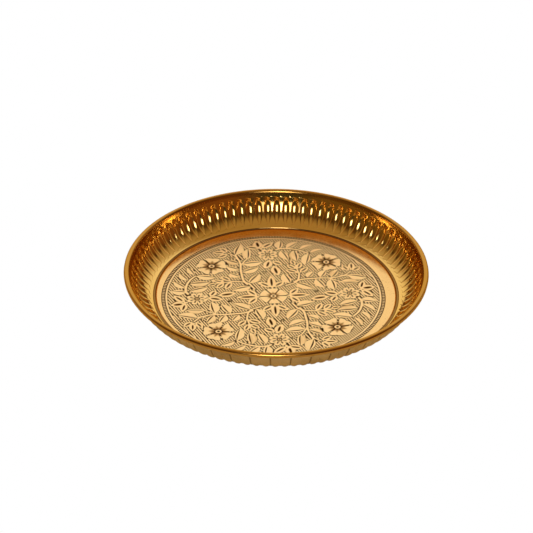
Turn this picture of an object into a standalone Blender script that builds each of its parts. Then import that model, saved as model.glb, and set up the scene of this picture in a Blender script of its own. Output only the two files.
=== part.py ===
"""Round brass serving tray: one pressed sheet pan with a fluted wall, its edge rolled over a wire.

Metres, +Z up. The origin is at the middle of the tray, on the surface that it stands on.
"""

import math

import bmesh
import bpy
from mathutils import Vector

# Overall sizes
RIM_RADIUS = 0.127  # to the outside of the rolled rim
RIM_HEIGHT = 0.0275  # from the table to the top of the rolled rim

# Sheet and rolled rim
SHEET = 0.0009  # thickness of the brass
ROLL_RADIUS = 0.0024  # outside of the rolled edge
ROLL_GAP = 0.0004  # between the end of the roll and the wall that it closes on
WIRE_CLEARANCE = 0.0003  # between the wire and the inside of the roll

# Wall, and the standing groove that is pressed round the floor
WALL_RUN = 0.0236  # from the groove's outer lip out to the outside of the rim
WALL_TOP_SLOPE = math.radians(79)  # of the wall where it runs into the roll
GROOVE_DEPTH = 0.00085  # of the groove below the floor
GROOVE_FLAT = 0.0014  # flat ring at the groove's bottom, on which the tray stands
GROOVE_SLOPE = 0.0013  # run of each sloping side of the groove

# Flutes pressed outwards in the wall, placed by the slope of the wall's arc
FLUTE_COUNT = 92
FLUTE_DEPTH = 0.0012
FLUTE_LOW = math.radians(30.5)  # slope where a flute starts
FLUTE_HIGH = math.radians(70)  # slope where it ends

# Facets
STEPS_PER_FLUTE = 2
STEPS_ALONG_FLUTE = 3
STEPS_OVER_ROLL = 4  # from the wall over the top of the roll to its outside
STEPS_UNDER_ROLL = 3  # from there to the roll's end
WIRE_SIDES = 8


def clear_scene():
    for item in list(bpy.data.objects):
        bpy.data.objects.remove(item, do_unlink=True)


def metal(name, color, roughness):
    """A Principled metal in the given colour."""
    material = bpy.data.materials.new(name)
    material.use_nodes = True
    shader = material.node_tree.nodes["Principled BSDF"]
    shader.inputs["Base Color"].default_value = (*color, 1)
    shader.inputs["Metallic"].default_value = 1
    shader.inputs["Roughness"].default_value = roughness
    return material


def finish(item, name, material):
    """Name an object, give it its metal and shade its round faces smooth."""
    item.name = name
    item.data.materials.append(material)
    item.data.shade_smooth()
    item.data.set_sharp_from_angle(angle=math.radians(40))


def floor_top():
    return GROOVE_DEPTH + SHEET


def roll_centre():
    """Radius and height of the middle of the rolled edge, where the wire runs."""
    return RIM_RADIUS - ROLL_RADIUS, RIM_HEIGHT - ROLL_RADIUS


def top_of_wall():
    """Radius and height where the wall's inner face runs into the roll."""
    centre, height = roll_centre()
    return centre - ROLL_RADIUS * math.sin(WALL_TOP_SLOPE), height + ROLL_RADIUS * math.cos(WALL_TOP_SLOPE)


def roll_turns():
    """Angles about the roll's centre, over its top, outside and underside to its end.

    The end keeps at least the roll gap to the wall's outer face.
    """
    wall_face = top_of_wall()[0] + SHEET + ROLL_GAP - roll_centre()[0]
    under = math.acos(wall_face / ROLL_RADIUS)
    start = math.pi / 2 + WALL_TOP_SLOPE
    over = [start * (1 - step / STEPS_OVER_ROLL) for step in range(STEPS_OVER_ROLL)]
    return over + [-under * step / STEPS_UNDER_ROLL for step in range(STEPS_UNDER_ROLL + 1)]


def wire_radius():
    """What fits in the roll, inside the flats of its facets."""
    turns = roll_turns()
    widest = max(first - second for first, second in zip(turns, turns[1:]))
    return ROLL_RADIUS * math.cos(widest / 2) - SHEET - WIRE_CLEARANCE


def wall_arc():
    """Centre radius, centre height and radius of the arc of the wall's inner face.

    It starts at the groove's outer lip and ends at the top of the wall with the slope stated there.
    """
    top_radius, top_height = top_of_wall()
    run, rise = top_radius - (RIM_RADIUS - WALL_RUN), top_height - floor_top()
    sine, cosine = math.sin(WALL_TOP_SLOPE), math.cos(WALL_TOP_SLOPE)
    arc = (run**2 + rise**2) / (2 * (run * sine - rise * cosine))
    return top_radius - arc * sine, top_height + arc * cosine, arc


def on_wall(slope):
    """Point of the wall's inner face where it has this slope."""
    centre_radius, centre_height, arc = wall_arc()
    return centre_radius + arc * math.sin(slope), centre_height - arc * math.cos(slope)


def upper_profile():
    """(radius, height) along the sheet's upper face, from the middle of the floor to the roll's end."""
    top, bottom = floor_top(), floor_top() - GROOVE_DEPTH
    lip = RIM_RADIUS - WALL_RUN
    groove_out = lip - GROOVE_SLOPE
    groove_in = groove_out - GROOVE_FLAT
    points = [(0, top), (groove_in - GROOVE_SLOPE, top)]
    points += [(groove_in, bottom), (groove_out, bottom), (lip, top)]
    for step in range(STEPS_ALONG_FLUTE + 1):
        points.append(on_wall(FLUTE_LOW + (FLUTE_HIGH - FLUTE_LOW) * step / STEPS_ALONG_FLUTE))
    centre, height = roll_centre()
    for angle in roll_turns():
        points.append((centre + ROLL_RADIUS * math.cos(angle), height + ROLL_RADIUS * math.sin(angle)))
    return points


def press_flutes(shell):
    """Push the wall outwards square to its arc, most along the middle line of each flute."""
    centre_radius, centre_height, _ = wall_arc()
    low, high = on_wall(FLUTE_LOW), on_wall(FLUTE_HIGH)
    for vert in shell.verts:
        radius = math.hypot(vert.co.x, vert.co.y)
        if not low[0] < radius < high[0] or not low[1] < vert.co.z < high[1]:
            continue
        slope = math.atan2(radius - centre_radius, centre_height - vert.co.z)
        along = math.sin(math.pi * (slope - FLUTE_LOW) / (FLUTE_HIGH - FLUTE_LOW))
        turn = math.atan2(vert.co.y, vert.co.x)
        across = (1 + math.cos(FLUTE_COUNT * turn)) / 2
        outward = vert.co.xy.normalized() * math.sin(slope)
        push = Vector((outward.x, outward.y, -math.cos(slope)))
        vert.co += push * FLUTE_DEPTH * along * across


def build_pan():
    """Spin the upper face, press the flutes, then give the sheet its thickness below and outside."""
    shell = bmesh.new()
    verts = [shell.verts.new((radius, 0, height)) for radius, height in upper_profile()]
    edges = [shell.edges.new(pair) for pair in zip(verts, verts[1:])]
    bmesh.ops.spin(
        shell,
        geom=verts + edges,
        axis=(0, 0, 1),
        cent=(0, 0, 0),
        angle=math.tau,
        steps=FLUTE_COUNT * STEPS_PER_FLUTE,
        use_merge=True,
    )
    bmesh.ops.remove_doubles(shell, verts=shell.verts, dist=1e-6)
    shell.normal_update()
    floor_face = min(shell.faces, key=lambda face: face.calc_center_median().xy.length)
    if floor_face.normal.z < 0:
        bmesh.ops.reverse_faces(shell, faces=shell.faces)
    press_flutes(shell)
    mesh = bpy.data.meshes.new("pan")
    shell.to_mesh(mesh)
    shell.free()
    pan = bpy.data.objects.new("pan", mesh)
    bpy.context.collection.objects.link(pan)
    finish(pan, "pan", metal("polished_brass", (0.83, 0.55, 0.2), 0.22))
    sheet = pan.modifiers.new("sheet", "SOLIDIFY")
    sheet.thickness = SHEET
    sheet.offset = -1
    sheet.use_even_offset = True
    sheet.use_rim = True


def build_rim_wire():
    centre, height = roll_centre()
    bpy.ops.mesh.primitive_torus_add(
        major_segments=FLUTE_COUNT,
        minor_segments=WIRE_SIDES,
        major_radius=centre,
        minor_radius=wire_radius(),
        location=(0, 0, height),
    )
    finish(bpy.context.object, "rim_wire", metal("steel_wire", (0.45, 0.44, 0.43), 0.4))


clear_scene()
build_pan()
build_rim_wire()
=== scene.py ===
import math

import bpy
import numpy as np
from mathutils import Matrix, Vector
from mathutils.kdtree import KDTree


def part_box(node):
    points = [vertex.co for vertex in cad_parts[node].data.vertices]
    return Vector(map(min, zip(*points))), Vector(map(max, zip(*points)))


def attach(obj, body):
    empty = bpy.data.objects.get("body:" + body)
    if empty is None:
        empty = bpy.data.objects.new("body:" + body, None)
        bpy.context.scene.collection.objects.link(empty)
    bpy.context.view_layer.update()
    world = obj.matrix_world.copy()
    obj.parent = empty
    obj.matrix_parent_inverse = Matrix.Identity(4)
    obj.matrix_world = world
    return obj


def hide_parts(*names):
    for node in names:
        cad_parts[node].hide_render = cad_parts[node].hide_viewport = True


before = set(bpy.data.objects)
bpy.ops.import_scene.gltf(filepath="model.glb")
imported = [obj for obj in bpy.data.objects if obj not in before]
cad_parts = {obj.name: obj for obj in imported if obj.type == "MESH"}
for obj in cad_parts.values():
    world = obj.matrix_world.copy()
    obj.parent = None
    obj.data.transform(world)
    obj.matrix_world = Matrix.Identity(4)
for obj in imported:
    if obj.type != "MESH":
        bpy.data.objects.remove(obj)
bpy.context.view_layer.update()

mm = 0.001
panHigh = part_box("pan")[1]
rimRadius = panHigh[0]
rimTop = panHigh[2]


def startFresh():
    # leave edit mode and drop every selection, so an operator only meets its own piece
    if bpy.context.object and bpy.context.object.mode != "OBJECT":
        bpy.ops.object.mode_set(mode="OBJECT")
    bpy.ops.object.select_all(action="DESELECT")


def pick(piece):
    startFresh()
    piece.select_set(True)
    bpy.context.view_layer.objects.active = piece


def added(name):
    piece = bpy.context.object
    piece.name = name
    piece.data.name = name
    return piece


def selectVerts(piece, test):
    # choose vertices by their place, in edit mode
    bpy.ops.object.mode_set(mode="OBJECT")
    for face in piece.data.polygons:
        face.select = False
    for edge in piece.data.edges:
        edge.select = False
    for vert in piece.data.vertices:
        vert.select = test(vert.co)
    bpy.ops.object.mode_set(mode="EDIT")
    bpy.ops.mesh.select_mode(type="VERT")


def selectFaces(piece, test):
    bpy.ops.object.mode_set(mode="OBJECT")
    for vert in piece.data.vertices:
        vert.select = False
    for edge in piece.data.edges:
        edge.select = False
    for face in piece.data.polygons:
        face.select = test(face)
    bpy.ops.object.mode_set(mode="EDIT")
    bpy.ops.mesh.select_mode(type="FACE")


def joined(pieces, name):
    startFresh()
    for piece in pieces:
        piece.select_set(True)
    bpy.context.view_layer.objects.active = pieces[0]
    if len(pieces) > 1:
        bpy.ops.object.join()
    bpy.ops.object.transform_apply(location=True, rotation=True, scale=True)
    return added(name)


def copyTo(master, matrix):
    twin = master.copy()
    twin.data = master.data.copy()
    bpy.context.collection.objects.link(twin)
    twin.matrix_world = matrix @ master.matrix_world
    return twin


def discard(*masters):
    for master in masters:
        bpy.data.objects.remove(master, do_unlink=True)


def smooth(piece, degrees):
    pick(piece)
    bpy.ops.object.shade_smooth_by_angle(angle=math.radians(degrees))


def finishPiece(piece, slot, *nodes):
    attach(piece, "root")
    if nodes:
        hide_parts(*nodes)


panShape = {
    "sheet": 0.9 * mm,
    "rollRadius": 2.4 * mm,
    "rollGap": 0.4 * mm,
    "rollSteps": 12,
    "wallRun": 23.6 * mm,
    "wallLowSlope": math.radians(25),
    "wallTopSlope": math.radians(71.5),
    "wallEase": 1.45,
    "wallSteps": 40,
    "grooveDepth": 0.85 * mm,
    "grooveFlat": 1.4 * mm,
    "grooveSlope": 1.3 * mm,
    "groove": (
        (0.07, 0.03), (0.13, 0.12), (0.2, 0.3), (0.3, 0.62), (0.38, 0.83), (0.46, 0.95), (0.55, 1), (0.66, 1),
        (0.74, 0.97), (0.79, 0.87), (0.83, 0.66), (0.865, 0.4), (0.9, 0.17), (0.94, 0.05), (1, 0),
    ),
    "flutes": 92,
    "fluteColumns": (-0.98, -0.72, -0.4, 0, 0.4, 0.72, 0.98, 1.0),
    "fluteDepth": 1.1 * mm,
    "fluteFullness": 0.88,
    "fluteWidest": 0.55,
    "fluteHollow": 2.6,
    "fluteLow": 0.09,
    "fluteHigh": 0.86,
}
floorTop = panShape["grooveDepth"] + panShape["sheet"]
rollCentre = (rimRadius - panShape["rollRadius"], rimTop - panShape["rollRadius"])
lipRadius = rimRadius - panShape["wallRun"]
floorRadius = lipRadius - 2 * panShape["grooveSlope"] - panShape["grooveFlat"]


def wallPath():
    # radius, height and slope of each ring of the wall's inner face, from the groove's lip to the roll
    low, high = panShape["wallLowSlope"], panShape["wallTopSlope"]
    steps, ease = panShape["wallSteps"], panShape["wallEase"]
    slopes = [low + (high - low) * (1 - (1 - step / steps) ** ease) for step in range(steps + 1)]
    across, upward = [0], [0]
    for first, second in zip(slopes, slopes[1:]):
        across.append(across[-1] + math.cos((first + second) / 2))
        upward.append(upward[-1] + math.sin((first + second) / 2))
    top = (rollCentre[0] - panShape["rollRadius"] * math.sin(high),
           rollCentre[1] + panShape["rollRadius"] * math.cos(high))
    wide, tall = (top[0] - lipRadius) / across[-1], (top[1] - floorTop) / upward[-1]
    return [(lipRadius + x * wide, floorTop + z * tall, slope) for x, z, slope in zip(across, upward, slopes)]


def panProfile():
    # radius and height along the upper face, outwards from the edge of the flat floor
    points = []
    wide = lipRadius - floorRadius
    for share, sink in panShape["groove"]:
        points.append((floorRadius + wide * share, floorTop - panShape["grooveDepth"] * sink))
    points += [(radius, height) for radius, height, slope in wallPath()[1:]]
    start = math.pi / 2 + panShape["wallTopSlope"]
    reach = (points[-1][0] + panShape["sheet"] + panShape["rollGap"] - rollCentre[0]) / panShape["rollRadius"]
    turn = start + math.acos(reach)
    for step in range(1, panShape["rollSteps"] + 1):
        angle = start - turn * step / panShape["rollSteps"]
        points.append((
            rollCentre[0] + panShape["rollRadius"] * math.cos(angle),
            rollCentre[1] + panShape["rollRadius"] * math.sin(angle),
        ))
    return points


def extrudeRing(radiusFrom, radiusTo, rise):
    # one more ring of the turned shape: extrude the open edge, lift it and widen it
    bpy.ops.mesh.extrude_region_move(TRANSFORM_OT_translate={"value": (0, 0, rise)})
    grow = radiusTo / radiusFrom
    bpy.ops.transform.resize(value=(grow, grow, 1), center_override=(0, 0, 0))


def fluteWidth(share):
    # half width along a flute: a pointed lower end, full a little above the middle, a round top
    widest = panShape["fluteWidest"]
    if share < widest:
        return math.sin(share / widest * math.pi / 2) ** 0.8
    return math.cos((share - widest) / (1 - widest) * math.pi / 2) ** 0.5


def pressFlutes(piece):
    # a dent's outline runs along the mesh, so its columns close in towards both ends
    path = wallPath()
    columns = panShape["fluteColumns"]
    low, high = panShape["fluteLow"], panShape["fluteHigh"]
    rings = {round(height * 1e7): ring for ring, (radius, height, slope) in enumerate(path)}
    for vert in piece.data.vertices:
        ring = rings.get(round(vert.co.z * 1e7), rings.get(round(vert.co.z * 1e7) + 1))
        radius = vert.co.xy.length
        if ring is None or abs(radius - path[ring][0]) > 1e-5:
            continue
        share = (ring / panShape["wallSteps"] - low) / (high - low)
        if not 0 < share < 1:
            continue
        slope = path[ring][2]
        width = fluteWidth(share)
        index = round(math.atan2(vert.co.y, vert.co.x) / math.tau * len(columns) * panShape["flutes"])
        flute, column = divmod(index, len(columns))
        across = columns[column]
        edge = abs(across) == 1
        inside = across if edge else across * width * panShape["fluteFullness"]
        angle = (flute + inside / 2) * math.tau / panShape["flutes"]
        fromMiddle = abs(across) / columns[-2]
        hollow = max(0, 1 - fromMiddle ** panShape["fluteHollow"])
        push = panShape["fluteDepth"] * hollow * math.sin(math.pi * share) ** 0.7
        vert.co = Vector((radius * math.cos(angle), radius * math.sin(angle), vert.co.z))
        outward = vert.co.xy.normalized() * math.sin(slope)
        vert.co += Vector((outward.x, outward.y, -math.cos(slope))) * push


stamp = {
    "centre": (-2.1 * mm, -4.5 * mm),
    "turn": math.radians(4.8),
    "radius": 93.8 * mm,
    "depth": 0.45 * mm,
    "lip": 0.3 * mm,
    "step": 0.15 * mm,
}
groundTop = floorTop - stamp["depth"]


def buildPan():
    startFresh()
    columns = panShape["flutes"] * len(panShape["fluteColumns"])
    bpy.ops.mesh.primitive_circle_add(
        vertices=columns, radius=floorRadius, fill_type="NGON", location=(0, 0, floorTop)
    )
    bpy.ops.object.transform_apply(location=True)
    pan = added("panShell")
    selectVerts(pan, lambda co: True)
    bpy.ops.mesh.select_mode(type="EDGE")
    bpy.ops.mesh.region_to_loop()
    radius, height = floorRadius, floorTop
    for nextRadius, nextHeight in panProfile():
        extrudeRing(radius, nextRadius, nextHeight - height)
        radius, height = nextRadius, nextHeight
    bpy.ops.object.mode_set(mode="OBJECT")
    if pan.data.polygons[0].normal.z < 0:
        pan.data.flip_normals()
    pressFlutes(pan)
    sheet = pan.modifiers.new("sheet", "SOLIDIFY")
    sheet.thickness = panShape["sheet"]
    sheet.offset = -1
    sheet.use_even_offset = True
    bpy.ops.object.modifier_apply(modifier="sheet")
    # sink the engraved round of the floor, a little off the tray's middle
    selectFaces(pan, lambda face: face.area > 0.01 and face.normal.z > 0.9)
    bpy.ops.mesh.inset(thickness=stamp["lip"])
    fit = stamp["radius"] / (floorRadius - stamp["lip"])
    bpy.ops.transform.resize(value=(fit, fit, 1), center_override=(0, 0, 0))
    bpy.ops.transform.translate(value=(*stamp["centre"], 0))
    bpy.ops.mesh.inset(thickness=stamp["step"])
    bpy.ops.transform.translate(value=(0, 0, -stamp["depth"]))
    bpy.ops.object.mode_set(mode="OBJECT")
    smooth(pan, 28)
    return pan


def stampMatrix(quarter):
    # the pattern repeats four times round the engraved disc
    place = Matrix.Translation((*stamp["centre"], groundTop))
    return place @ Matrix.Rotation(stamp["turn"] + quarter * math.pi / 2, 4, "Z")


hatch = {
    "pitch": 2.03 * mm,
    "width": 1.38 * mm,
    "height": 0.41 * mm,
    "topShare": (0.98, 0.86, 1),
    "lean": math.radians(114.5),
    "radius": 88.4 * mm,
    "moat": 0.48 * mm,
    "sample": 0.25 * mm,
    "shortest": 0.7 * mm,
}
outlines = []
spots = []


def claimLeaf(place, style):
    # remembers where a leaf or petal lies, so that the ground's ridges stop short of it
    outlines.append((place, style))


def claimSpot(place, x, y, radius):
    spots.append((place @ Vector((x * mm, y * mm, 0)), radius * mm))


def isCovered(points):
    covered = np.zeros(len(points), bool)
    for place, style in outlines:
        rows = np.array(style["rows"]) * mm
        back = np.array(place.inverted())
        local = points @ back[:2, :2].T + back[:2, 3]
        wider = hatch["moat"] / place.to_scale().x
        longer = hatch["moat"] / place.to_scale().y
        share = (local[:, 1] - rows[0, 0]) / (rows[-1, 0] - rows[0, 0])
        bowed = local[:, 0] - style["bow"] * mm * np.sin(math.pi * np.clip(share, 0, 1))
        half = np.interp(local[:, 1], rows[:, 0], rows[:, 1]) + wider
        along = (local[:, 1] > rows[0, 0] - longer) & (local[:, 1] < rows[-1, 0] + longer)
        covered |= along & (np.abs(bowed) < half)
    tree = KDTree(len(spots))
    for index, (spot, radius) in enumerate(spots):
        tree.insert((spot.x, spot.y, 0), index)
    tree.balance()
    for index in np.flatnonzero(~covered):
        where, found, away = tree.find((*points[index], 0))
        covered[index] = away < spots[found][1] + hatch["moat"]
    return covered


def buildHatch():
    # one ridge, tapered, then a copy for each stretch of each line that no leaf covers
    startFresh()
    bpy.ops.mesh.primitive_cube_add(size=1, location=(0, 0, 0))
    ridge = added("hatchRidge")
    ridge.scale = (1, hatch["width"], 2 * hatch["height"])
    bpy.ops.object.transform_apply(scale=True)
    selectVerts(ridge, lambda co: co.z > 0)
    bpy.ops.transform.resize(value=hatch["topShare"], center_override=(0, 0, hatch["height"]))
    bpy.ops.object.mode_set(mode="OBJECT")
    count = int(hatch["radius"] / hatch["pitch"])
    turned = stampMatrix(0) @ Matrix.Rotation(hatch["lean"], 4, "Z")
    lines = []
    for line in range(-count, count + 1):
        offset = line * hatch["pitch"]
        half = math.sqrt(max(hatch["radius"] ** 2 - offset**2, 0))
        along = np.arange(-half, half, hatch["sample"])
        grid = np.array([(turned @ Vector((x, offset, 0))).xy for x in along])
        free = np.concatenate([[False], ~isCovered(grid), [False]])
        starts = np.flatnonzero(~free[:-1] & free[1:])
        ends = np.flatnonzero(free[:-1] & ~free[1:])
        for start, end in zip(starts, ends):
            length = (end - start) * hatch["sample"]
            if length < hatch["shortest"]:
                continue
            middle = -half + (start + end - 1) / 2 * hatch["sample"]
            place = Matrix.Translation((middle, offset, 0)) @ Matrix.Diagonal((length, 1, 1, 1))
            lines.append(copyTo(ridge, turned @ place))
    discard(ridge)
    return joined(lines, "hatchedGround")


borderRing = {
    "bandIn": 88.8 * mm,
    "bandOut": 90.4 * mm,
    "bandSteps": 240,
    "bandFoot": -0.2 * mm,
    "bandRings": ((0, 0.38), (0.2, 0.45), (0.5, 0.47), (0.8, 0.45), (1, 0.38), (1, -0.2)),
    "tickIn": 91.0 * mm,
    "tickOut": 93.3 * mm,
    "ticks": 244,
    "tickShare": 0.5,
    "tickTall": 0.45 * mm,
    "tickMiddle": 0.2 * mm,
}


def buildBorder():
    # a plain raised band, and outside it a ladder of small blocks between two cut lines
    startFresh()
    bpy.ops.mesh.primitive_circle_add(
        vertices=borderRing["bandSteps"],
        radius=borderRing["bandIn"],
        location=(0, 0, borderRing["bandFoot"]),
    )
    bpy.ops.object.transform_apply(location=True)
    band = added("band")
    bpy.ops.object.mode_set(mode="EDIT")
    bpy.ops.mesh.select_all(action="SELECT")
    wide = borderRing["bandOut"] - borderRing["bandIn"]
    radius, height = borderRing["bandIn"], borderRing["bandFoot"]
    for share, level in borderRing["bandRings"]:
        extrudeRing(radius, borderRing["bandIn"] + share * wide, level * mm - height)
        radius, height = borderRing["bandIn"] + share * wide, level * mm
    bpy.ops.mesh.select_all(action="SELECT")
    bpy.ops.mesh.normals_make_consistent(inside=False)
    bpy.ops.object.mode_set(mode="OBJECT")
    startFresh()
    middle = (borderRing["tickIn"] + borderRing["tickOut"]) / 2
    bpy.ops.mesh.primitive_cube_add(size=1, location=(middle, 0, borderRing["tickMiddle"]))
    ladder = added("ladder")
    pitch = math.tau / borderRing["ticks"]
    ladder.scale = (
        borderRing["tickOut"] - borderRing["tickIn"],
        middle * pitch * borderRing["tickShare"],
        borderRing["tickTall"],
    )
    bpy.ops.object.transform_apply(location=True, scale=True)
    selectVerts(ladder, lambda co: co.z > borderRing["tickMiddle"])
    bpy.ops.transform.resize(value=(0.9, 0.82, 1), center_override=(middle, 0, 0))
    bpy.ops.mesh.select_all(action="SELECT")
    bpy.ops.mesh.spin(
        steps=borderRing["ticks"] - 1,
        dupli=True,
        angle=math.tau - pitch,
        center=(0, 0, 0),
        axis=(0, 0, 1),
    )
    bpy.ops.object.mode_set(mode="OBJECT")
    for piece in (band, ladder):
        piece.matrix_world = stampMatrix(0) @ piece.matrix_world
    border = joined([band, ladder], "ladderBorder")
    smooth(border, 40)
    return border


# Leaves and petals are grids: rows give the outline's half width, columns the cut lines.
broadRows = [
    (0, 0.14), (0.7, 0.7), (1.7, 1.5), (2.9, 2.05), (4.2, 2.3),
    (5.6, 2.2), (6.9, 1.85), (8.1, 1.3), (9.2, 0.6), (10, 0.05),
]
broadColumns = [
    (-1, -0.05), (-0.9, 0), (-0.6, 0), (-0.54, -0.36),
    (-0.36, -0.36), (-0.28, -0.03), (0.4, -0.02), (1, -0.05),
]
plateSkirt = 0.5 * mm  # how far a plate's edge runs down into the ground
leafStyles = {
    "slitLeaf": {
        "length": 10,
        "rows": [
            (0, 0.12), (0.8, 0.45), (2.0, 1.2), (3.4, 1.8), (5.0, 2.0),
            (6.6, 1.75), (8.0, 1.15), (9.1, 0.55), (10, 0.06),
        ],
        "columns": [
            (-1, -0.07), (-0.7, 0), (-0.28, 0), (-0.14, 0), (0, 0),
            (0.14, 0), (0.28, 0), (0.7, 0), (1, -0.07),
        ],
        "cut": {"columns": (-0.14, 0, 0.14), "rows": (3.3, 6.8), "depth": -0.36},
        "bow": 0,
    },
    "broadLeafLeft": {
        "length": 10,
        "rows": broadRows,
        "columns": broadColumns,
        "cut": None,
        "bow": 0.5,
    },
    "broadLeafRight": {
        "length": 10,
        "rows": broadRows,
        "columns": [(-side, level) for side, level in reversed(broadColumns)],
        "cut": None,
        "bow": -0.5,
    },
}


def buildPlate(name, style):
    rows, columns = style["rows"], style["columns"]
    startFresh()
    bpy.ops.mesh.primitive_grid_add(x_subdivisions=len(columns) - 1, y_subdivisions=len(rows) - 1, size=2)
    plate = added(name)
    grid = [(round((v.co.x + 1) / 2 * (len(columns) - 1)), round((v.co.y + 1) / 2 * (len(rows) - 1)))
            for v in plate.data.vertices]
    length = rows[-1][0] - rows[0][0]
    for vert, (column, row) in zip(plate.data.vertices, grid):
        along, half = rows[row]
        side, level = columns[column]
        share = (along - rows[0][0]) / length
        cut = style.get("cut")
        if cut and side in cut["columns"] and cut["rows"][0] <= along <= cut["rows"][1]:
            level = cut["depth"]
        sunk = style.get("sunk", 0) * max(0, 1 - along / style.get("sunkTo", length))
        tipFade = math.sin(math.pi * min(max(share, 0.02), 0.98)) ** 0.5
        notch = style.get("notch", 0) * max(0, 1 - abs(side) * 2.2) * (row == len(rows) - 1)
        vert.co = (
            (side * half + style["bow"] * math.sin(math.pi * share)) * mm,
            (along - notch) * mm,
            stamp["depth"] + (level * tipFade - sunk) * mm,
        )
    bpy.ops.object.mode_set(mode="EDIT")
    bpy.ops.mesh.select_mode(type="EDGE")
    bpy.ops.mesh.select_all(action="SELECT")
    bpy.ops.mesh.region_to_loop()
    bpy.ops.mesh.extrude_region_move(TRANSFORM_OT_translate={"value": (0, 0, -plateSkirt)})
    bpy.ops.mesh.select_all(action="SELECT")
    bpy.ops.mesh.normals_make_consistent(inside=False)
    bpy.ops.object.mode_set(mode="OBJECT")
    return plate


# Each leaf of one quarter: base and tip in millimetres from the pattern's middle, then its width.
leaves = {
    "slitLeaf": [
        ((-34, 69.5), (-40.5, 77.5), 6.5), ((-35.5, 69.5), (-47.5, 70), 6.2), ((-34, 67), (-43.5, 61.5), 6),
        ((-6, 74), (-18.5, 77.5), 6.8), ((-6.5, 74), (-8.5, 86.5), 9.8), ((-5, 74), (6.5, 83.5), 7),
        ((1, 55.5), (-3, 42), 8.1), ((2.5, 53), (12, 47.5), 6.8), ((3.5, 46.5), (6.5, 30.5), 9.1),
        ((22, 46), (19, 54.5), 5.5), ((23.5, 40), (27.5, 50), 5.5), ((22.5, 40), (14.5, 47), 5.7),
        ((24, 33.5), (12.5, 39.5), 6.5), ((25, 34), (33, 42.5), 6.2),
        ((0, 11), (0, 31.5), 7.8), ((-1, 13.5), (-11, 22), 6.8), ((1, 13.5), (11, 22), 6.8),
    ],
    "broadLeafLeft": [
        ((-27.5, 65), (-22.5, 81.5), 9), ((11.5, 69.5), (17, 53.5), 8.1), ((22.5, 69), (24, 51.5), 8.8),
        ((34.5, 63), (31, 46.5), 8.1), ((-22.5, 50), (-5, 52.5), 8.8), ((-23.5, 37.5), (-9, 44.5), 8.3),
        ((20.5, 18.5), (35, 9), 9),
    ],
    "broadLeafRight": [
        ((-18, 58.5), (-16.5, 74), 8.3), ((10, 72.5), (13, 85.5), 8.1), ((16.5, 73), (27.5, 82.5), 7.1),
        ((28, 70.5), (40, 77), 6.6), ((36.5, 64.5), (48.5, 69.5), 6.3), ((-25.5, 51), (-36.5, 58), 7.8),
        ((-26, 41.5), (-36.5, 47.5), 7.6), ((-26, 30.5), (-35, 37), 6.8), ((15.5, 18), (11, 34), 8.8),
    ],
}


layers = {"count": 5, "drop": 0.012}  # leaves that overlap lie at slightly different heights


def buildLeaves():
    pieces = []
    for name, style in leafStyles.items():
        master = buildPlate(name, style)
        halfWidth = max(half for along, half in style["rows"]) * mm
        for base, tip, width in leaves[name]:
            run = Vector(tip) - Vector(base)
            stretch = Matrix.Diagonal((width * mm / 2 / halfWidth, run.length / style["length"], 1, 1))
            aim = Matrix.Rotation(math.atan2(run.y, run.x) - math.pi / 2, 4, "Z")
            place = Matrix.Translation((base[0] * mm, base[1] * mm, 0)) @ aim @ stretch
            for quarter in range(4):
                layer = len(pieces) // 4 % layers["count"]
                lift = Matrix.Translation((0, 0, layer * -layers["drop"] * mm))
                pieces.append(copyTo(master, stampMatrix(quarter) @ lift @ place))
                claimLeaf(stampMatrix(quarter) @ place, style)
        discard(master)
    plates = joined(pieces, "leafPlates")
    smooth(plates, 35)
    return plates


flowerStyles = {
    "bigFlower": {
        "petals": 5,
        "middle": (49, 49),
        "turn": 136,
        "pearl": 2.9,
        "rows": [
            (3.3, 1.9), (4.6, 2.75), (5.8, 3.5), (7.2, 4.35), (8.6, 5.15),
            (10, 5.9), (11.1, 6), (11.9, 5.2), (12.4, 3.8),
        ],
        "columns": [(-1, -0.08), (-0.86, 0), (-0.4, 0.02), (0, -0.07), (0.4, 0.02), (0.86, 0), (1, -0.08)],
        "sunk": 0.3,
        "sunkTo": 9,
        "bow": 0,
        "notch": 0.7,
    },
    "smallFlower": {
        "petals": 8,
        "middle": (0, 64),
        "turn": 22.5,
        "pearl": 1.6,
        "rows": [
            (2.4, 0.9), (3.3, 1.3), (4.2, 1.66), (5.2, 2.06), (6.4, 2.4), (7.4, 2.3), (8.2, 1.8), (8.8, 0.9),
        ],
        "columns": [
            (-1, -0.03), (-0.7, 0), (-0.34, 0), (-0.22, 0), (0, 0),
            (0.22, 0), (0.34, 0), (0.7, 0), (1, -0.03),
        ],
        "cut": {"columns": (-0.22, 0, 0.22), "rows": (3.2, 5.4), "depth": -0.38},
        "bow": 0,
    },
    "middleFlower": {
        "petals": 6,
        "middle": (0, 0),
        "turn": 90,
        "pearl": 2.8,
        "rows": [
            (3.2, 1.5), (4.2, 2.05), (5.4, 2.7), (6.8, 3.45),
            (8.2, 4.15), (9.6, 4.8), (10.6, 4.7), (11.2, 3.6),
        ],
        "columns": [(-1, -0.08), (-0.86, 0), (-0.4, 0.02), (0, -0.05), (0.4, 0.02), (0.86, 0), (1, -0.08)],
        "sunk": 0.26,
        "sunkTo": 7.5,
        "bow": 0,
        "notch": -0.2,
    },
}


pearlShape = {"ring": 0.64, "tube": 0.36, "tall": 1.1, "moat": 1}


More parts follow.
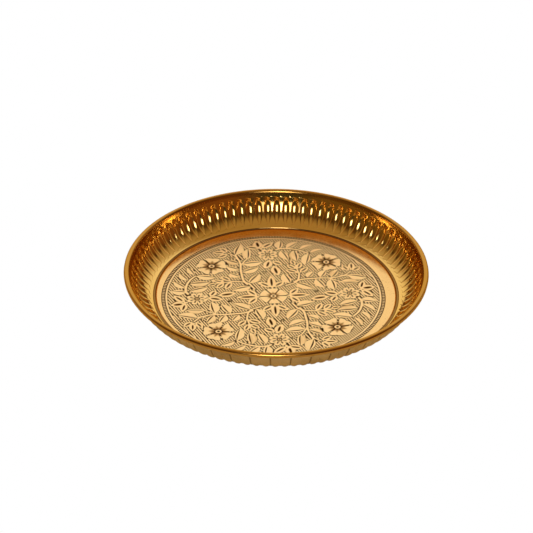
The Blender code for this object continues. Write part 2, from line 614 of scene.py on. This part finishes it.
def buildPearl(radius, height, hollow):
    # a flattened ring with a dark eye, or a plain low dome
    startFresh()
    if hollow:
        bpy.ops.mesh.primitive_torus_add(
            major_segments=28,
            minor_segments=10,
            major_radius=radius * pearlShape["ring"],
            minor_radius=radius * pearlShape["tube"],
        )
    else:
        bpy.ops.mesh.primitive_uv_sphere_add(segments=20, ring_count=10, radius=radius)
    pearl = added("pearl")
    bpy.ops.object.mode_set(mode="EDIT")
    flat = height / (radius * (pearlShape["tube"] if hollow else 1))
    bpy.ops.transform.resize(value=(1, 1, flat), center_override=(0, 0, 0))
    bpy.ops.object.mode_set(mode="OBJECT")
    return pearl


def buildFlowers():
    pieces = []
    for name, style in flowerStyles.items():
        petal = buildPlate(name, style)
        pearl = buildPearl(style["pearl"] * mm, stamp["depth"] * pearlShape["tall"], True)
        place = Matrix.Translation((style["middle"][0] * mm, style["middle"][1] * mm, 0))
        for quarter in range(4 if name != "middleFlower" else 1):
            for number in range(style["petals"]):
                angle = math.radians(style["turn"] - 90 + number * 360 / style["petals"])
                spun = place @ Matrix.Rotation(angle, 4, "Z")
                pieces.append(copyTo(petal, stampMatrix(quarter) @ spun))
                claimLeaf(stampMatrix(quarter) @ spun, style)
            pieces.append(copyTo(pearl, stampMatrix(quarter) @ place))
            claimSpot(stampMatrix(quarter) @ place, 0, 0, style["pearl"] + pearlShape["moat"])
        discard(petal, pearl)
    flowers = joined(pieces, "flowers")
    smooth(flowers, 35)
    return flowers


# Stems of one quarter, in millimetres, with the width along each from start to end.
stems = [
    ([(-20, 18.5), (-22.5, 22.5), (-24, 27.5), (-24, 32), (-25, 40.5), (-24, 49),
      (-25, 56.5), (-27, 62), (-30, 65.5), (-34, 68.5)], 2.7, 1.7),
    ([(-26.5, 61), (-27.5, 63.5), (-27.5, 66)], 2.1, 1.6),
    ([(-24.3, 48), (-22, 52), (-19.5, 57), (-16, 60), (-11, 62.3)], 2.1, 1.2),
    ([(-25.5, 57), (-27, 59.5), (-29.5, 61), (-33, 61.3)], 1.7, 1),
    ([(7, 70.5), (9.5, 72.5), (14, 73), (20.5, 72), (27, 69.5), (32, 66), (35, 63)], 2.9, 2),
    ([(11, 14.5), (15, 16.5), (20, 18.8), (22.5, 22.5), (24, 28), (24.5, 34)], 2, 2.1),
    ([(-4.5, 72), (-5.5, 75)], 2.3, 2.9),
    ([(24, 33), (23, 41), (22, 47)], 2.1, 1.3),
]
seeds = [(-31.5, 79), (-5, 36.5), (5, -36.5)]
stemShape = {"drop": 0.006, "spots": 16, "seedRadius": 1.3, "seedTall": 1.35}


def buildStems():
    pieces = []
    for route, startWidth, endWidth in stems:
        curve = bpy.data.curves.new("stem", "CURVE")
        curve.dimensions = "3D"
        curve.bevel_depth = 0.5 * mm
        curve.bevel_resolution = 3
        curve.resolution_u = 4
        curve.use_fill_caps = True
        spline = curve.splines.new("NURBS")
        spline.points.add(len(route) - 1)
        spline.order_u = 3
        spline.use_endpoint_u = True
        for index, (point, (x, y)) in enumerate(zip(spline.points, route)):
            point.co = (x * mm, y * mm, 0, 1)
            share = index / (len(route) - 1)
            point.radius = startWidth + (endWidth - startWidth) * share
        stem = bpy.data.objects.new("stem", curve)
        bpy.context.collection.objects.link(stem)
        pick(stem)
        bpy.ops.object.convert(target="MESH")
        stem = bpy.context.object
        # flatten the top of the round rod nearly level with the leaves
        level = stamp["depth"] - (len(pieces) // 4 + 1) * stemShape["drop"] * mm
        selectVerts(stem, lambda co: co.z > level)
        bpy.ops.transform.resize(value=(1, 1, 0), center_override=(0, 0, level))
        bpy.ops.object.mode_set(mode="OBJECT")
        for quarter in range(4):
            pieces.append(copyTo(stem, stampMatrix(quarter)))
            for index, ((x, y), (nextX, nextY)) in enumerate(zip(route, route[1:])):
                share = index / (len(route) - 1)
                radius = (startWidth + (endWidth - startWidth) * share) / 2
                count = stemShape["spots"]
                for step in range(count):
                    spotX = x + (nextX - x) * step / count
                    spotY = y + (nextY - y) * step / count
                    claimSpot(stampMatrix(quarter), spotX, spotY, radius)
        discard(stem)
    seedHeight = stamp["depth"] * stemShape["seedTall"]
    seed = buildPearl(stemShape["seedRadius"] * mm, seedHeight, False)
    for x, y in seeds:
        place = Matrix.Translation((x * mm, y * mm, 0))
        for quarter in range(4):
            pieces.append(copyTo(seed, stampMatrix(quarter) @ place))
            claimSpot(stampMatrix(quarter) @ place, 0, 0, stemShape["seedRadius"])
    discard(seed)
    plates = joined(pieces, "stemsAndSeeds")
    smooth(plates, 35)
    return plates


def newMetal(name):
    material = bpy.data.materials.new(name)
    material.use_nodes = True
    nodes = material.node_tree.nodes
    shader = nodes["Principled BSDF"]
    shader.inputs["Metallic"].default_value = 1
    coords = nodes.new("ShaderNodeTexCoord")
    return material, nodes, material.node_tree.links, shader, coords


def noise(nodes, links, coords, scale, detail, rough=0.5):
    grain = nodes.new("ShaderNodeTexNoise")
    grain.inputs["Scale"].default_value = scale
    grain.inputs["Detail"].default_value = detail
    grain.inputs["Roughness"].default_value = rough
    links.new(coords.outputs["Object"], grain.inputs["Vector"])
    return grain


def ramp(nodes, links, source, stops):
    colors = nodes.new("ShaderNodeValToRGB")
    while len(colors.color_ramp.elements) < len(stops):
        colors.color_ramp.elements.new(0.5)
    for element, (place, color) in zip(colors.color_ramp.elements, stops):
        element.position = place
        element.color = (*color, 1)
    links.new(source, colors.inputs["Fac"])
    return colors


def spread(nodes, links, source, low, high, toLow, toHigh):
    rescale = nodes.new("ShaderNodeMapRange")
    rescale.inputs["From Min"].default_value = low
    rescale.inputs["From Max"].default_value = high
    rescale.inputs["To Min"].default_value = toLow
    rescale.inputs["To Max"].default_value = toHigh
    links.new(source, rescale.inputs["Value"])
    return rescale


def bump(nodes, links, source, shader, distance):
    relief = nodes.new("ShaderNodeBump")
    relief.inputs["Strength"].default_value = 0.5
    relief.inputs["Distance"].default_value = distance
    links.new(source, relief.inputs["Height"])
    links.new(relief.outputs["Normal"], shader.inputs["Normal"])


def polishedBrass():
    material, nodes, links, shader, coords = newMetal("polishedBrass")
    clouds = noise(nodes, links, coords, 18, 4)
    tint = ramp(nodes, links, clouds.outputs["Fac"], [(0.3, (0.82, 0.50, 0.14)), (0.7, (0.88, 0.55, 0.17))])
    split = nodes.new("ShaderNodeSeparateXYZ")
    links.new(coords.outputs["Object"], split.inputs["Vector"])
    # darker brown down in the floor's groove: partly patina in the recess, partly painted shade
    sunk = spread(nodes, links, split.outputs["Z"], floorTop - 0.08 * mm, floorTop - 0.5 * mm, 0, 0.9)
    darkenedLow = nodes.new("ShaderNodeMix")
    darkenedLow.data_type = "RGBA"
    darkenedLow.inputs["B"].default_value = (0.22, 0.11, 0.035, 1)
    links.new(sunk.outputs["Result"], darkenedLow.inputs["Factor"])
    links.new(tint.outputs["Color"], darkenedLow.inputs["A"])
    # painted shade: the roll's upper part takes a darker orange tint, which dims its reflections
    beadLow = rimTop - 1.6 * panShape["rollRadius"]
    onBead = spread(nodes, links, split.outputs["Z"], beadLow, beadLow + 1.2 * mm, 0, 1)
    rollShadeTint = nodes.new("ShaderNodeMix")
    rollShadeTint.data_type = "RGBA"
    rollShadeTint.inputs["B"].default_value = (0.55, 0.27, 0.055, 1)
    links.new(onBead.outputs["Result"], rollShadeTint.inputs["Factor"])
    links.new(darkenedLow.outputs["Result"], rollShadeTint.inputs["A"])
    links.new(rollShadeTint.outputs["Result"], shader.inputs["Base Color"])
    shader.inputs["Specular Tint"].default_value = (0.95, 0.72, 0.38, 1)
    haze = noise(nodes, links, coords, 120, 3)
    gloss = spread(nodes, links, haze.outputs["Fac"], 0.3, 0.7, 0.07, 0.14)
    softer = nodes.new("ShaderNodeMath")
    softer.operation = "MULTIPLY_ADD"
    links.new(onBead.outputs["Result"], softer.inputs[0])
    softer.inputs[1].default_value = 0.06
    links.new(gloss.outputs["Result"], softer.inputs[2])
    links.new(softer.outputs["Value"], shader.inputs["Roughness"])
    ripple = noise(nodes, links, coords, 38, 0)
    bump(nodes, links, ripple.outputs["Fac"], shader, 0.00004)
    return material


def engravedBrass():
    # bright where the relief was rubbed, darker the deeper the relief: partly polish and soot left in the
    # cuts, partly painted shade in the cuts and recesses
    material, nodes, links, shader, coords = newMetal("engravedBrass")
    split = nodes.new("ShaderNodeSeparateXYZ")
    links.new(coords.outputs["Object"], split.inputs["Vector"])
    height = spread(nodes, links, split.outputs["Z"], groundTop, floorTop, 0, 1)
    clouds = noise(nodes, links, coords, 60, 4)
    mixed = nodes.new("ShaderNodeMath")
    mixed.operation = "MULTIPLY_ADD"
    links.new(clouds.outputs["Fac"], mixed.inputs[0])
    mixed.inputs[1].default_value = 0.16
    links.new(height.outputs["Result"], mixed.inputs[2])
    tint = ramp(nodes, links, mixed.outputs["Value"], [
        (0.1, (0.07, 0.024, 0.009)), (0.6, (0.1, 0.036, 0.013)),
        (0.82, (0.6, 0.34, 0.13)), (0.93, (1, 0.68, 0.32)),
    ])
    links.new(tint.outputs["Color"], shader.inputs["Base Color"])
    shader.inputs["Specular Tint"].default_value = (0.97, 0.78, 0.45, 1)
    gloss = spread(nodes, links, mixed.outputs["Value"], 0.5, 1.0, 0.6, 0.3)
    links.new(gloss.outputs["Result"], shader.inputs["Roughness"])
    tooth = noise(nodes, links, coords, 900, 2)
    bump(nodes, links, tooth.outputs["Fac"], shader, 0.00005)
    return material


def outsideBrass():
    # the wall's outer face is less polished, with cloudy tarnish, and painted shade at its foot and in its
    # creases
    material, nodes, links, shader, coords = newMetal("outsideBrass")
    clouds = noise(nodes, links, coords, 30, 3, 0.5)
    tint = ramp(nodes, links, clouds.outputs["Fac"], [(0.34, (0.55, 0.36, 0.15)), (0.64, (0.74, 0.51, 0.23))])
    split = nodes.new("ShaderNodeSeparateXYZ")
    links.new(coords.outputs["Object"], split.inputs["Vector"])
    # painted shade: the outer face darkens towards its foot, next to the table
    footShade = spread(nodes, links, split.outputs["Z"], 4.5 * mm, 2 * mm, 0, 0.8)
    darkenedLow = nodes.new("ShaderNodeMix")
    darkenedLow.data_type = "RGBA"
    darkenedLow.inputs["B"].default_value = (0.13, 0.07, 0.025, 1)
    links.new(footShade.outputs["Result"], darkenedLow.inputs["Factor"])
    links.new(tint.outputs["Color"], darkenedLow.inputs["A"])
    # thin dark lines of painted shade run down the creases beside every second flute
    turn = nodes.new("ShaderNodeTexGradient")
    turn.gradient_type = "RADIAL"
    links.new(coords.outputs["Object"], turn.inputs["Vector"])
    folds = nodes.new("ShaderNodeMath")
    folds.operation = "MULTIPLY"
    folds.inputs[1].default_value = panShape["flutes"] / 2
    links.new(turn.outputs["Fac"], folds.inputs[0])
    fold = nodes.new("ShaderNodeMath")
    fold.operation = "FRACT"
    links.new(folds.outputs["Value"], fold.inputs[0])
    line = ramp(nodes, links, fold.outputs["Value"], [
        (0.2, (0, 0, 0)), (0.24, (0.75, 0.75, 0.75)), (0.27, (0.75, 0.75, 0.75)), (0.31, (0, 0, 0)),
    ])
    creaseShade = nodes.new("ShaderNodeMix")
    creaseShade.data_type = "RGBA"
    creaseShade.inputs["B"].default_value = (0.16, 0.07, 0.025, 1)
    links.new(line.outputs["Color"], creaseShade.inputs["Factor"])
    links.new(darkenedLow.outputs["Result"], creaseShade.inputs["A"])
    links.new(creaseShade.outputs["Result"], shader.inputs["Base Color"])
    shader.inputs["Specular Tint"].default_value = (0.95, 0.76, 0.45, 1)
    gloss = spread(nodes, links, clouds.outputs["Fac"], 0.3, 0.7, 0.3, 0.2)
    links.new(gloss.outputs["Result"], shader.inputs["Roughness"])
    ripple = noise(nodes, links, coords, 110, 3)
    bump(nodes, links, ripple.outputs["Fac"], shader, 0.0003)
    return material


def satinBrass():
    material, nodes, links, shader, coords = newMetal("satinBrass")
    specks = noise(nodes, links, coords, 420, 2, 0.6)
    tint = ramp(nodes, links, specks.outputs["Fac"], [(0.24, (0.35, 0.18, 0.07)), (0.33, (0.95, 0.60, 0.24))])
    links.new(tint.outputs["Color"], shader.inputs["Base Color"])
    shader.inputs["Specular Tint"].default_value = (0.97, 0.78, 0.45, 1)
    haze = noise(nodes, links, coords, 90, 3)
    gloss = spread(nodes, links, haze.outputs["Fac"], 0.3, 0.7, 0.15, 0.2)
    links.new(gloss.outputs["Result"], shader.inputs["Roughness"])
    tooth = noise(nodes, links, coords, 900, 2)
    bump(nodes, links, tooth.outputs["Fac"], shader, 0.00004)
    return material


def wireSteel():
    material, nodes, links, shader, coords = newMetal("wireSteel")
    clouds = noise(nodes, links, coords, 300, 4)
    tint = ramp(nodes, links, clouds.outputs["Fac"], [(0.3, (0.33, 0.32, 0.31)), (0.7, (0.5, 0.49, 0.48))])
    links.new(tint.outputs["Color"], shader.inputs["Base Color"])
    shader.inputs["Roughness"].default_value = 0.42
    return material


def coatPan(pan):
    pan.data.materials.append(polishedBrass())
    pan.data.materials.append(satinBrass())
    pan.data.materials.append(engravedBrass())
    pan.data.materials.append(outsideBrass())
    rollFoot = rollCentre[1] - 0.4 * panShape["rollRadius"]
    for face in pan.data.polygons:
        middle = face.center
        onFloor = middle.xy.length < lipRadius - panShape["grooveSlope"] and face.normal.z > 0.5
        if onFloor and middle.z > floorTop - 0.3 * mm:
            face.material_index = 1
        if onFloor and abs(middle.z - groundTop) < 0.3 * mm and face.area > 1e-3:
            face.material_index = 2
        if middle.z < rollFoot and (face.normal.z < -0.3 or face.normal.xy.dot(middle.xy) > 0):
            if middle.xy.length > lipRadius:
                face.material_index = 3


view = {
    "elevation": 33.73,
    "distance": 2.159,
    "roll": -0.37,
    "lens": 173.96,
    "aimRight": -8.15 * mm,
    "aimUp": 22.07 * mm,
}


def placeCamera():
    lift = math.radians(view["elevation"])
    forward = Vector((0, math.cos(lift), -math.sin(lift)))
    upward = Vector((0, math.sin(lift), math.cos(lift)))
    target = Vector((0, 0, floorTop))
    spot = target - forward * view["distance"]
    aim = target + Vector((view["aimRight"], 0, 0)) + upward * view["aimUp"]
    lens = bpy.data.cameras.new("camera")
    lens.lens = view["lens"]
    lens.sensor_width = 36
    lens.clip_end = 50
    camera = bpy.data.objects.new("camera", lens)
    bpy.context.collection.objects.link(camera)
    turn = (aim - spot).to_track_quat("-Z", "Y").to_matrix().to_4x4()
    tilt = Matrix.Rotation(-math.radians(view["roll"]), 4, "Z")
    camera.matrix_world = Matrix.Translation(spot) @ turn @ tilt
    bpy.context.scene.camera = camera


def placeFloor():
    startFresh()
    bpy.ops.mesh.primitive_plane_add(size=12, location=(0, 0, -0.0003))
    ground = added("studioFloor")
    material = bpy.data.materials.new("paleFloor")
    material.use_nodes = True
    shader = material.node_tree.nodes["Principled BSDF"]
    nodes, links = material.node_tree.nodes, material.node_tree.links
    shader.inputs["Base Color"].default_value = (0.92, 0.88, 0.76, 1)
    shader.inputs["Roughness"].default_value = 0.9
    shader.inputs["Emission Color"].default_value = (1, 0.96, 0.84, 1)
    shader.inputs["Emission Strength"].default_value = 0.1
    pale = nodes.new("ShaderNodeEmission")
    pale.inputs["Color"].default_value = (1, 1, 1, 1)
    path = nodes.new("ShaderNodeLightPath")
    either = nodes.new("ShaderNodeMixShader")
    links.new(path.outputs["Is Camera Ray"], either.inputs[0])
    links.new(shader.outputs[0], either.inputs[1])
    links.new(pale.outputs[0], either.inputs[2])
    links.new(either.outputs[0], nodes["Material Output"].inputs["Surface"])
    ground.data.materials.append(material)


lamps = {
    "windowWide": {"azimuth": -2, "elevation": 34.5, "size": (1.2, 1.02), "power": 6.5},
    "windowCore": {"azimuth": -3, "elevation": 35, "size": (0.55, 0.8), "power": 9},
}
lampDistance = 2.3
# colour of the room by how far a direction leans to the back and up
roomStops = [
    (0.0, (0.03, 0.018, 0.007)), (0.5, (0.05, 0.03, 0.012)), (0.68, (0.12, 0.065, 0.02)),
    (0.755, (0.36, 0.26, 0.125)), (0.86, (0.55, 0.46, 0.32)), (0.93, (1, 0.97, 0.92)),
]
# colour of the room's walls in front, from the left to the right
roomSides = [
    (0.2, (0.16, 0.09, 0.018)), (0.42, (0.05, 0.045, 0.022)),
    (0.56, (0.05, 0.045, 0.022)), (0.8, (0.20, 0.075, 0.016)),
]
horizonWood = (0.42, 0.25, 0.09)
ceilingTan = (0.42, 0.30, 0.14)


def placeLights():
    for name, lamp in lamps.items():
        light = bpy.data.lights.new(name, "AREA")
        light.shape = "RECTANGLE"
        light.size, light.size_y = lamp["size"]
        light.energy = lamp["power"]
        holder = bpy.data.objects.new(name, light)
        bpy.context.collection.objects.link(holder)
        turn, lift = math.radians(lamp["azimuth"]), math.radians(lamp["elevation"])
        away = Vector((math.sin(turn) * math.cos(lift), -math.cos(turn) * math.cos(lift), math.sin(lift)))
        holder.location = away * lampDistance
        holder.rotation_euler = (-away).to_track_quat("-Z", "Y").to_euler()
    world = bpy.data.worlds.new("studio")
    bpy.context.scene.world = world
    world.use_nodes = True
    nodes, links = world.node_tree.nodes, world.node_tree.links
    coords = nodes.new("ShaderNodeTexCoord")
    lean = nodes.new("ShaderNodeVectorMath")
    lean.operation = "DOT_PRODUCT"
    lean.inputs[1].default_value = (0, 0.86, 0.51)
    links.new(coords.outputs["Generated"], lean.inputs[0])
    share = spread(nodes, links, lean.outputs["Value"], -1, 1, 0, 1)
    room = ramp(nodes, links, share.outputs["Result"], roomStops)
    split = nodes.new("ShaderNodeSeparateXYZ")
    links.new(coords.outputs["Generated"], split.inputs["Vector"])
    across = spread(nodes, links, split.outputs["X"], -1, 1, 0, 1)
    front = ramp(nodes, links, across.outputs["Result"], roomSides)
    rear = spread(nodes, links, split.outputs["Y"], -0.15, 0.25, 0, 1)
    walls = nodes.new("ShaderNodeMix")
    walls.data_type = "RGBA"
    links.new(rear.outputs["Result"], walls.inputs["Factor"])
    links.new(front.outputs["Color"], walls.inputs["A"])
    walls.inputs["B"].default_value = (*horizonWood, 1)
    height = nodes.new("ShaderNodeVectorMath")
    height.operation = "DOT_PRODUCT"
    height.inputs[1].default_value = (0, 0.45, 0.89)
    links.new(coords.outputs["Generated"], height.inputs[0])
    lifted = spread(nodes, links, height.outputs["Value"], 0.2, 0.55, 0, 1)
    overhead = spread(nodes, links, split.outputs["Z"], 0.74, 0.93, 0, 1)
    ceiling = nodes.new("ShaderNodeMix")
    ceiling.data_type = "RGBA"
    links.new(overhead.outputs["Result"], ceiling.inputs["Factor"])
    links.new(room.outputs["Color"], ceiling.inputs["A"])
    ceiling.inputs["B"].default_value = (*ceilingTan, 1)
    mixed = nodes.new("ShaderNodeMix")
    mixed.data_type = "RGBA"
    links.new(lifted.outputs["Result"], mixed.inputs["Factor"])
    links.new(walls.outputs["Result"], mixed.inputs["A"])
    links.new(ceiling.outputs["Result"], mixed.inputs["B"])
    links.new(mixed.outputs["Result"], nodes["Background"].inputs["Color"])
    white = nodes.new("ShaderNodeBackground")
    path = nodes.new("ShaderNodeLightPath")
    either = nodes.new("ShaderNodeMixShader")
    links.new(path.outputs["Is Camera Ray"], either.inputs[0])
    links.new(nodes["Background"].outputs[0], either.inputs[1])
    links.new(white.outputs[0], either.inputs[2])
    links.new(either.outputs[0], nodes["World Output"].inputs["Surface"])
    white.inputs["Color"].default_value = (1, 1, 1, 1)
    bpy.context.scene.view_settings.view_transform = "Standard"


print("camera and studio")
placeCamera()
placeFloor()
placeLights()

print("pan")
pan = buildPan()
coatPan(pan)
finishPiece(pan, "polished_brass", "pan")

print("engraving")
engraved = engravedBrass()
for build in (buildLeaves, buildFlowers, buildStems, buildHatch, buildBorder):
    piece = build()
    piece.data.materials.clear()
    piece.data.materials.append(engraved)
    finishPiece(piece, "polished_brass")
    print(piece.name, len(piece.data.polygons), "faces")

print("wire")
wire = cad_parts["rim_wire"]
wire.data.materials.clear()
wire.data.materials.append(wireSteel())
